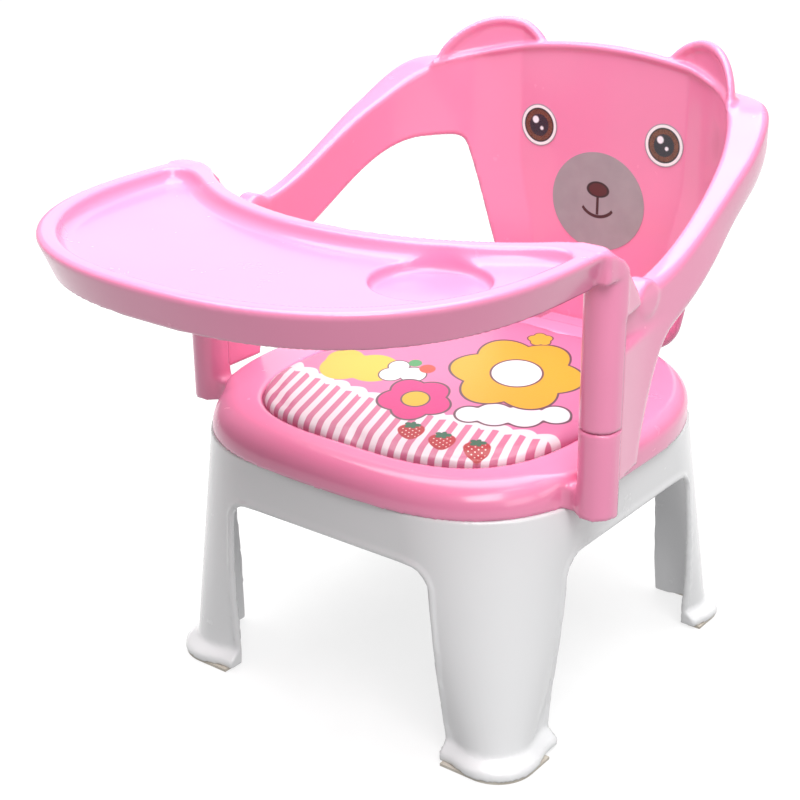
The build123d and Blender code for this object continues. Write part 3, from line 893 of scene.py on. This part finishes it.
class CHAIR_OT_stage(bpy.types.Operator):
    """Sets the pale floor, the soft lights and the camera"""

    bl_idname = "chair.stage"
    bl_label = "Stage"

    def execute(self, context):
        scene = context.scene
        mesh = bpy.data.meshes.new("floor")
        half = 30.0
        level = -0.0004
        corners = [(-half, -half, level), (half, -half, level), (half, half, level), (-half, half, level)]
        mesh.from_pydata(corners, [], [(0, 1, 2, 3)])
        floor = bpy.data.objects.new("floor", mesh)
        scene.collection.objects.link(floor)
        floor.visible_diffuse = False
        finish = Finish("floor_finish")
        tone = finish.blend(finish.noise(30.0, 3.0), 0.3, (0.30, 0.30, 0.30), 0.7, (0.32, 0.32, 0.32))
        finish.set(
            Base_Color=tone, Roughness=0.9, Specular_IOR_Level=0.1, Emission_Color=(1.0, 1.0, 1.0),
            Emission_Strength=0.72,
        )
        mesh.materials.append(finish.material)

        world = bpy.data.worlds.new("room")
        world.use_nodes = True
        sky = world.node_tree.nodes["Background"]
        sky.inputs["Color"].default_value = (1, 1, 1, 1)
        sky.inputs["Strength"].default_value = 0.33
        scene.world = world

        middle = Vector((0.0, 0.0, 0.2))
        for name, place, size, power in (
            ("overhead", (-0.2, 0.1, 2.7), 3.0, 125.0), ("backdrop", (-1.9, 2.6, 1.35), 2.6, 17.0),
            ("key", (1.35, -1.3, 2.3), 1.3, 40.0), ("side", (2.0, -0.6, 0.9), 0.8, 6.0),
        ):
            data = bpy.data.lights.new(name, "AREA")
            data.size = size
            data.energy = power
            lamp = bpy.data.objects.new(name, data)
            lamp.location = place
            aim = middle - Vector(place)
            lamp.rotation_euler = aim.to_track_quat("-Z", "Y").to_euler()
            scene.collection.objects.link(lamp)

        azimuth = math.radians(36.49)
        elevation = math.radians(23.58)
        back = Vector((
            math.sin(azimuth) * math.cos(elevation), -math.cos(azimuth) * math.cos(elevation),
            math.sin(elevation),
        ))
        right = Vector((math.cos(azimuth), math.sin(azimuth), 0.0))
        data = bpy.data.cameras.new("camera")
        data.sensor_width = 36.0
        data.lens = 74.46
        data.shift_x = -0.0477
        data.shift_y = 0.0279
        camera = bpy.data.objects.new("camera", data)
        distance = 1.18785
        place = Vector((0.0, -0.02533, 0.180)) + back * distance
        turn = Matrix((right, back.cross(right), back)).transposed()
        camera.matrix_world = Matrix.Translation(place) @ turn.to_4x4()
        scene.collection.objects.link(camera)
        scene.camera = camera
        scene.view_settings.view_transform = "Standard"
        return {"FINISHED"}


class CHAIR_PT_panel(bpy.types.Panel):
    """Lists the pieces and the values that a user would change"""

    bl_idname = "CHAIR_PT_panel"
    bl_label = "Toddler Chair"
    bl_space_type = "VIEW_3D"
    bl_region_type = "UI"
    bl_category = "Toddler Chair"

    def draw(self, context):
        layout = self.layout
        for group in (context.scene.chair_colours, context.scene.chair_sizes):
            box = layout.box()
            for name in group.__annotations__:
                box.prop(group, name)
        for operator in OPERATORS:
            layout.operator(operator.bl_idname)


OPERATORS = (
    CHAIR_OT_base, CHAIR_OT_seat, CHAIR_OT_backrest, CHAIR_OT_tray, CHAIR_OT_cushion, CHAIR_OT_face,
    CHAIR_OT_hardware, CHAIR_OT_stage,
)
CLASSES = (ChairColours, ChairSizes) + OPERATORS + (CHAIR_PT_panel,)


def register():
    for item in CLASSES:
        bpy.utils.register_class(item)
    bpy.types.Scene.chair_colours = bpy.props.PointerProperty(type=ChairColours)
    bpy.types.Scene.chair_sizes = bpy.props.PointerProperty(type=ChairSizes)


def unregister():
    del bpy.types.Scene.chair_sizes
    del bpy.types.Scene.chair_colours
    for item in reversed(CLASSES):
        bpy.utils.unregister_class(item)


def main():
    register()
    for operator in (
        bpy.ops.chair.base, bpy.ops.chair.seat, bpy.ops.chair.backrest, bpy.ops.chair.tray,
        bpy.ops.chair.cushion, bpy.ops.chair.face, bpy.ops.chair.hardware, bpy.ops.chair.stage,
    ):
        operator()


if __name__ == "__main__":
    main()
